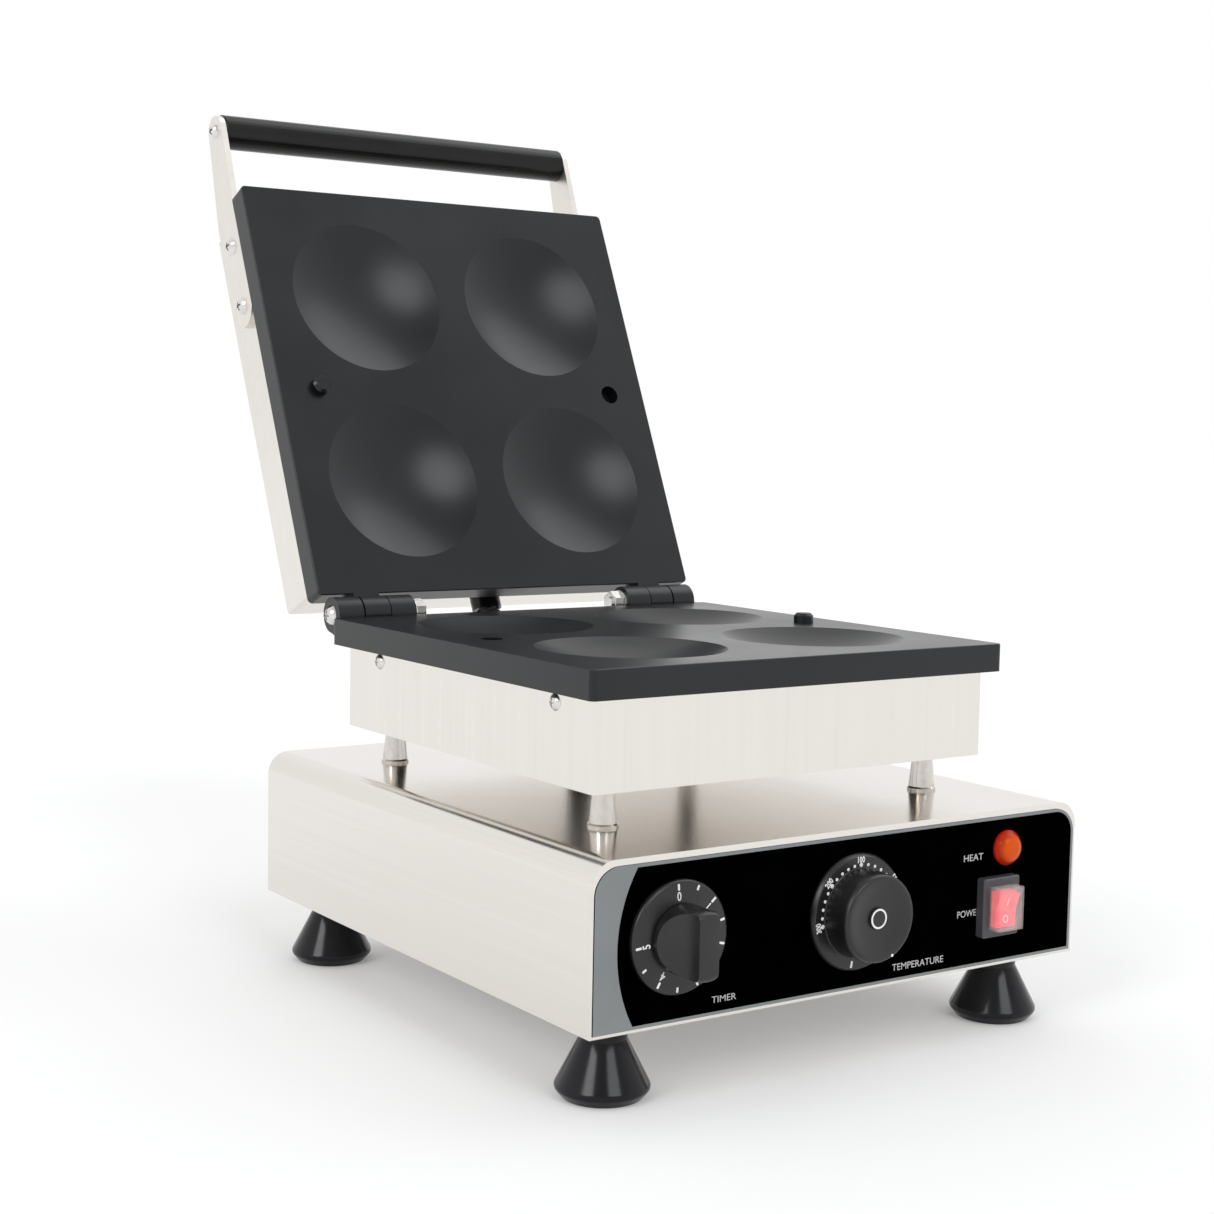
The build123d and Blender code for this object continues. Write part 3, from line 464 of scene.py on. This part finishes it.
def disc(radius, place):
    """A small raised dot."""
    chamfer = 0.1
    steps = [(radius, -MARK_LIFT), (radius, MARK_LIFT * 0.6), (radius - chamfer, MARK_LIFT)]
    return settle(turned(steps, count=20), place)


def joined(pieces):
    """One piece of several."""
    pick(pieces[0])
    for piece in pieces:
        piece.select_set(True)
    bpy.ops.object.join()
    return bpy.context.object


def arc(centre, radius, start, end, count):
    """Points on an arc in the plane, angles in degrees."""
    angles = [radians(start + (end - start) * index / (count - 1)) for index in range(count)]
    return [(centre[0] + radius * cos(turn), centre[1] + radius * sin(turn)) for turn in angles]


def circle_through(first, second, third):
    """Centre and radius of the circle through three points."""
    (ax, ay), (bx, by), (cx, cy) = first, second, third
    twice = 2 * (ax * (by - cy) + bx * (cy - ay) + cx * (ay - by))
    a, b, c = ax * ax + ay * ay, bx * bx + by * by, cx * cx + cy * cy
    x = (a * (by - cy) + b * (cy - ay) + c * (ay - by)) / twice
    y = (a * (cx - bx) + b * (ax - cx) + c * (bx - ax)) / twice
    return (x, y), ((ax - x) ** 2 + (ay - y) ** 2) ** 0.5


def flat_shape(outlines, lift, place):
    """A thin plate of closed outlines, the inner ones cut out."""
    bpy.ops.object.select_all(action="DESELECT")
    sheet = bpy.data.curves.new("outline", "CURVE")
    sheet.dimensions = "2D"
    sheet.fill_mode = "BOTH"
    sheet.extrude = lift * MM
    for outline in outlines:
        line = sheet.splines.new("POLY")
        line.points.add(len(outline) - 1)
        for point, (x, y) in zip(line.points, outline):
            point.co = (x * MM, y * MM, 0, 1)
        line.use_cyclic_u = True
    piece = bpy.data.objects.new("outline", sheet)
    bpy.context.scene.collection.objects.link(piece)
    pick(piece)
    bpy.ops.object.convert(target="MESH")
    return settle(bpy.context.object, place)


# ------------------------------------------------------------------ front panel

def field_edge(line):
    """The rim of the black field inside the grey: an arc at the left, a line's width from the other edges."""
    right, low, high = FILM_HALF - line, FILM_LOW + line, FILM_HIGH - line
    top, middle, bottom = (-126.0, high), (-136.2, 77.9), (-127.4, low)
    centre, radius = circle_through(top, middle, bottom)
    start = degrees(atan2(top[1] - centre[1], top[0] - centre[0]))
    end = degrees(atan2(bottom[1] - centre[1], bottom[0] - centre[0])) + 360
    corner = (FILM_HALF - FILM_CORNER, FILM_HIGH - FILM_CORNER)
    return arc(centre, radius, start, end, 40) + [(right, low)] + arc(corner, FILM_CORNER - line, 0, 90, 16)


def make_film_print():
    """The grey border and field printed round the black, and the words beside the controls."""
    reach, shoulder = FILM_HALF - FILM_CORNER, FILM_HIGH - FILM_CORNER
    outer = [(-FILM_HALF, FILM_LOW), (FILM_HALF, FILM_LOW)]
    outer += arc((reach, shoulder), FILM_CORNER, 0, 90, 16)
    outer += arc((-reach, shoulder), FILM_CORNER, 90, 180, 16)
    grey = moulded_plastic("film_grey", (0.200, 0.214, 0.218), (0.218, 0.232, 0.236), 0.45, gloss=0.2)
    border = flat_shape([outer, field_edge(line=1.5)], 0.08, out_of_film((0, 0)))
    finished(border, "film_border", grey, "base", "printed_film")
    # Each word's text, height, place across, place up and length
    words = [("TIMER", 3.2, -76.6, 45.6, 14.0), ("TEMPERATURE", 3.5, 42.8, 45.3, 33.7),
             ("HEAT", 3.5, 78.1, 94.0, 13.1), ("POWER", 3.5, 76.2, 66.0, 15.8)]
    pale = moulded_plastic("word_print", (0.46, 0.46, 0.46), (0.54, 0.54, 0.54), 0.5)
    marks = [figures(text, height, out_of_film((across, up)), length, weight=-0.02)
             for text, height, across, up, length in words]
    finished(joined(marks), "film_words", pale, "base", "printed_film")


def make_timer_dial(black, white):
    """The fixed dial with a figure and a stroke for each hour, and a stroke for each half."""
    dial = turned([(5.0, 0), (26.0, 0), (26.3, 0.4), (26.3, 1.7), (26.0, 2.4), (25.4, 2.9), (24.6, DIAL_OUT),
                   (5.0, DIAL_OUT)])
    finished(settle(dial, out_of_film(TIMER)), "timer_ring", black, "base", "black_plastic", "timer_dial")
    first, step, last_hour = -5.0, 54.0, 5
    marks = []
    for hour in range(last_hour + 1):
        turn = out_of_film(TIMER, DIAL_OUT, first + step * hour)
        marks.append(figures(str(hour), 4.2, turn @ at(0, 19.1), weight=0.08))
        marks.append(bar(1.1, 3.0, turn @ at(0, 23.3)))
    for hour in range(last_hour):
        turn = out_of_film(TIMER, DIAL_OUT, first + step * (hour + 0.5))
        marks.append(bar(1.1, 2.4, turn @ at(0, 23.5)))
    finished(joined(marks), "timer_hours", white, "base", "black_plastic")


def scooped(piece, side, scoop_r, bar_half):
    """Cut one side of a hub away with a cylinder across it, up to half the width of the bar."""
    bpy.ops.object.select_all(action="DESELECT")
    bpy.ops.mesh.primitive_cylinder_add(vertices=128, radius=scoop_r * MM, depth=60 * MM,
                                        rotation=(pi / 2, 0, 0),
                                        location=(side * (bar_half + scoop_r) * MM, 0, 23 * MM))
    tool = bpy.context.object
    cut = piece.modifiers.new("scoop", "BOOLEAN")
    cut.operation = "DIFFERENCE"
    cut.solver = "EXACT"
    cut.object = tool
    pick(piece)
    bpy.ops.object.modifier_apply(modifier=cut.name)
    bpy.data.objects.remove(tool)


def make_timer_grip(black):
    """The round hub, scooped on both sides to leave a finger bar."""
    hub = turned([(15.8, 3.6), (16.0, 3.8), (16.0, 20.5), (15.6, 22.4), (14.6, 23.5), (13.0, 24.0),
                  (1.0, 24.0)])
    for side in (-1, 1):
        scooped(hub, side, scoop_r=18.0, bar_half=5.4)
    soften = hub.modifiers.new("soften", "BEVEL")
    soften.width = 0.7 * MM
    soften.segments = 3
    soften.limit_method = "ANGLE"
    soften.angle_limit = radians(SMOOTH_EDGE)
    pick(hub)
    bpy.ops.object.modifier_apply(modifier=soften.name)
    bpy.ops.object.shade_smooth_by_angle(angle=radians(SMOOTH_EDGE))
    finished(settle(hub, out_of_film(TIMER)), "timer_grip", black, "timer", "black_plastic", "timer_knob")


def make_thermostat_grip(black):
    """The skirted knob with a dished face and a plain cap in it."""
    knob = turned([(27.8, 0.6), (28.3, 0.9), (28.4, 1.4), (28.2, 2.0), (27.4, 3.6), (27.0, SKIRT_OUT),
                   (22.0, SKIRT_OUT), (21.6, 4.3), (21.5, 5.2), (21.2, 16.0), (21.0, 17.6), (20.5, 18.5),
                   (19.6, 19.0), (18.6, 18.95), (16.0, 18.3), (13.0, 17.5), (10.0, 16.9), (7.0, 16.6),
                   (5.3, 16.5), (5.2, 16.7), (5.2, 17.4), (5.0, CAP_OUT), (1.0, 17.7)], count=128)
    finished(settle(knob, out_of_film(THERMOSTAT)), "thermostat_grip", black, "thermostat", "black_plastic",
             "thermostat_knob")


def make_thermostat_scale(white):
    """The figures and dots on the skirt, the pointer dot on the rim and the ring on the cap."""
    numbers = {"50": 55, "100": 0, "200": -50, "300": -100}
    marks = [figures(text, 2.9, out_of_film(THERMOSTAT, SKIRT_OUT, angle) @ at(0, 25.6), weight=0.1)
             for text, angle in numbers.items()]
    dots = [*range(-100, -40, 10), *range(-40, 10, 10), *range(11, 56, 11)]
    for angle in dots:
        radius = 1.05 if angle in (-100, -50, 0) else 0.8
        marks.append(disc(radius, out_of_film(THERMOSTAT, SKIRT_OUT, angle) @ at(0, 23.1)))
    marks.append(bar(1.2, 3.4, out_of_film(THERMOSTAT, SKIRT_OUT, 190) @ at(0, 24.8)))
    marks.append(disc(0.7, out_of_film(THERMOSTAT, 19.0, 157) @ at(0, 19.7)))
    rims = [arc((0, 0), radius, 0, 354, 60) for radius in (4.8, 3.9)]
    marks.append(flat_shape(rims, MARK_LIFT, out_of_film(THERMOSTAT, CAP_OUT)))
    finished(joined(marks), "thermostat_scale", white, "thermostat", "black_plastic")


def make_lamp():
    """The domed lens with its stepped rim."""
    lens = turned([(8.9, 0), (9.0, 0.3), (9.0, 1.2), (LAMP_R, 1.8), (8.2, 2.1), (7.9, 2.5), (7.4, 3.4),
                   (6.5, 4.4), (5.3, 5.2), (3.9, 5.8), (2.2, 6.15), (0.7, 6.3)])
    finished(settle(lens, out_of_film(LAMP)), "lamp_dome", lamp_plastic("lens_amber"), "base", "amber_lens",
             "lamp_lens")


def make_rocker_marks(white):
    """The stroke and ring on the halves of the rocker."""
    pivot = Matrix.Translation((SWITCH[0] * MM, ROCKER_PIVOT_Y * MM, SWITCH[1] * MM))
    tilt = pivot @ Matrix.Rotation(radians(ROCKER_TILT), 4, "X")
    face_out, face_half = 6.75, 4.5
    slope = atan2(1.4, 8.6)
    marks = []
    for text, side in (("I", 1), ("O", -1)):
        middle = Matrix.Translation((0, -face_out * MM, side * face_half * MM))
        face = middle @ Matrix.Rotation(side * slope, 4, "X")
        marks.append(figures(text, 4.2, tilt @ face @ Matrix.Rotation(pi / 2, 4, "X")))
    finished(joined(marks), "rocker_marks", white, "rocker", "red_rocker")


# ------------------------------------------------------------------ conduit

def make_sleeve():
    """A smooth sleeve along the conduit's route."""
    bpy.ops.object.select_all(action="DESELECT")
    path = bpy.data.curves.new("conduit_sleeve", "CURVE")
    path.dimensions = "3D"
    path.bevel_depth = CONDUIT_R * MM
    path.bevel_resolution = 10
    path.resolution_u = 64
    path.use_fill_caps = True
    line = path.splines.new("NURBS")
    line.points.add(len(CONDUIT_ROUTE) - 1)
    for point, corner in zip(line.points, CONDUIT_ROUTE):
        point.co = (*[part * MM for part in corner], 1)
    line.order_u = 3
    line.use_endpoint_u = True
    piece = bpy.data.objects.new("conduit_sleeve", path)
    bpy.context.scene.collection.objects.link(piece)
    pick(piece)
    bpy.ops.object.convert(target="MESH")
    return bpy.context.object


def ribbed(piece, round_count, ring_pitch, groove):
    """Sink two of every few rings of a sleeve, so that ribs stand between the grooves."""
    bpy.ops.object.mode_set(mode="EDIT")
    bpy.ops.mesh.select_mode(type="VERT")
    bpy.ops.mesh.select_all(action="DESELECT")
    bpy.ops.object.mode_set(mode="OBJECT")
    for vertex in piece.data.vertices:
        vertex.select = (vertex.index // round_count) % ring_pitch < 2
    bpy.ops.object.mode_set(mode="EDIT")
    bpy.ops.transform.shrink_fatten(value=-groove * MM)
    bpy.ops.mesh.select_all(action="SELECT")
    bpy.ops.mesh.remove_doubles(threshold=0.00001)
    bpy.ops.mesh.normals_make_consistent(inside=False)
    bpy.ops.object.mode_set(mode="OBJECT")
    bpy.ops.object.shade_smooth_by_angle(angle=radians(60))


def make_conduit():
    """The ribbed flexible sleeve from the base to the lid."""
    piece = make_sleeve()
    ribbed(piece, round_count=24, ring_pitch=4, groove=0.55)
    piece.name = piece.data.name = "conduit_sleeve"
    piece.data.materials.clear()
    surface = moulded_plastic("sleeve_black", (0.008, 0.008, 0.008), (0.014, 0.014, 0.014), 0.4)
    piece.data.materials.append(surface)
    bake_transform(piece)
    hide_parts("conduit")


# ------------------------------------------------------------------ the whole scene

bpy.ops.object.select_all(action="DESELECT")
make_camera()
make_studio()
finish_metals()
finish_plastics()
knob_black = moulded_plastic("knob_black", (0.005, 0.005, 0.005), (0.009, 0.009, 0.009), 0.30, gloss=0.52)
ink_white = white_print("ink_white")
make_film_print()
make_timer_dial(knob_black, ink_white)
make_timer_grip(knob_black)
make_thermostat_grip(knob_black)
make_thermostat_scale(ink_white)
make_lamp()
make_rocker_marks(ink_white)
make_conduit()
